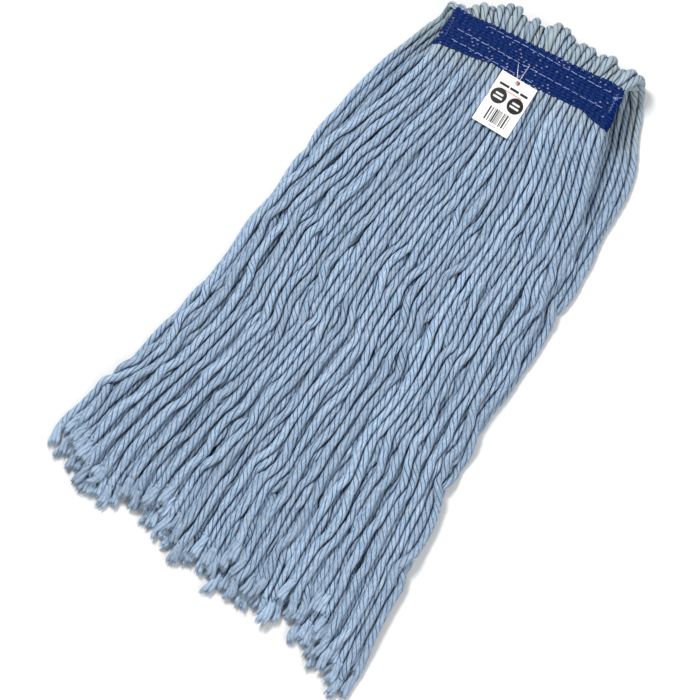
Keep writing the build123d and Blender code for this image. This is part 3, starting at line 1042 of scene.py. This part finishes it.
eyelet = Shape("tint")
ROUND, SECTION = 24, 8  # the eyelet's points round its hole and round its own section
around = np.linspace(0, 2 * math.pi, ROUND + 1)[:-1]
minor = np.linspace(0, 2 * math.pi, SECTION + 1)[:-1]
middle = on_tag(np.array([TAG_HOLE[0]]), np.array([TAG_HOLE[1]]), TAG_THICK)[0]
out = 1.75 + 0.5 * np.cos(minor)[None, :]
across_tag, down_tag = out * np.cos(around)[:, None], out * np.sin(around)[:, None]
above_tag = np.broadcast_to(0.42 * np.sin(minor)[None, :], (ROUND, SECTION))
ring = (
    middle + across_tag[..., None] * TAG_RIGHT + down_tag[..., None] * TAG_DOWN + above_tag[..., None] * TAG_NORMAL
)
ring_quads = [
    tuple(a % ROUND * SECTION + b % SECTION for a, b in ((k, j), (k, j + 1), (k + 1, j + 1), (k + 1, j)))
    for k in range(ROUND) for j in range(SECTION)
]
eyelet.add(ring.reshape(-1, 3), ring_quads, tint=0.0)
eyelet = eyelet.mesh("tag_eyelet", plain_material("red_brown_eyelet", (0.42, 0.07, 0.035), Roughness=0.45))
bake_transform(eyelet)

LOOP_THICK = 0.30
loop = Shape("tint")
for route in (
    ((-10.5, -4.0, -0.6), (-9.5, -6.5, 0.15), (-7.5, -12, 0.1), (-5.0, -18, 0.2), (-3.9, -23.4, 0.5)),
    ((-1.0, -1.5, -0.6), (-1.4, -4.5, 0.2), (-2.2, -12, 0.15), (-3.0, -18, 0.3), (-3.7, -23.4, 0.5)),
):
    thread(loop, spline_line(route), LOOP_THICK, 0.0)
glass = plain_material("clear_nylon", (0.93, 0.95, 0.97), Roughness=0.12, IOR=1.5, Transmission_Weight=0.45)
loop = loop.mesh("tag_nylon_loop", glass)
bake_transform(loop)
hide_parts("tag_loop")

# -------------------- floor, light and camera
AZIMUTH = math.radians(26.3)
ELEVATION = math.radians(78)
AIM = Vector((-0.0304, -0.2881, -0.020))
DISTANCE = 2.6
LENS = 158.6
FLOOR_HALF = 6  # metres
WORLD_LIGHT = 0.47

level = math.cos(ELEVATION)
back = Vector((math.sin(AZIMUTH) * level, -math.cos(AZIMUTH) * level, math.sin(ELEVATION)))
camera = put_in_scene("camera", bpy.data.cameras.new("camera"))
camera.data.lens = LENS
camera.data.sensor_width = 36
camera.location = AIM + back * DISTANCE
camera.rotation_mode = "QUATERNION"
camera.rotation_quaternion = (-back).to_track_quat("-Z", "Y")
bpy.context.scene.camera = camera


def floor():
    """A wide white studio floor."""
    mesh = bpy.data.meshes.new("floor")
    z = FLOOR * MM - 0.0002
    corners = [(x * FLOOR_HALF, y * FLOOR_HALF, z) for x, y in ((-1, -1), (1, -1), (1, 1), (-1, 1))]
    mesh.from_pydata(corners, [], [(0, 1, 2, 3)])
    mesh.materials.append(plain_material("studio_floor", (0.74, 0.74, 0.74), Roughness=0.9, Specular_IOR_Level=0.0))
    put_in_scene("floor", mesh)


def area_light(name, place, size, power):
    """A soft square light aimed at the mop."""
    light = bpy.data.lights.new(name, "AREA")
    light.size = size
    light.energy = power
    lamp = put_in_scene(name, light)
    lamp.location = place
    lamp.rotation_mode = "QUATERNION"
    lamp.rotation_quaternion = (AIM - Vector(place)).to_track_quat("-Z", "Y")


floor()
area_light("key", (-1.15, 0.4, 2.25), 0.7, 66)
area_light("fill", (1.7, -0.9, 1.6), 1.8, 30)
world = bpy.data.worlds.new("studio")
world.use_nodes = True
set_values(world.node_tree.nodes["Background"], Color=(1, 1, 1, 1), Strength=WORLD_LIGHT)
bpy.context.scene.world = world
bpy.context.scene.view_settings.view_transform = "Standard"
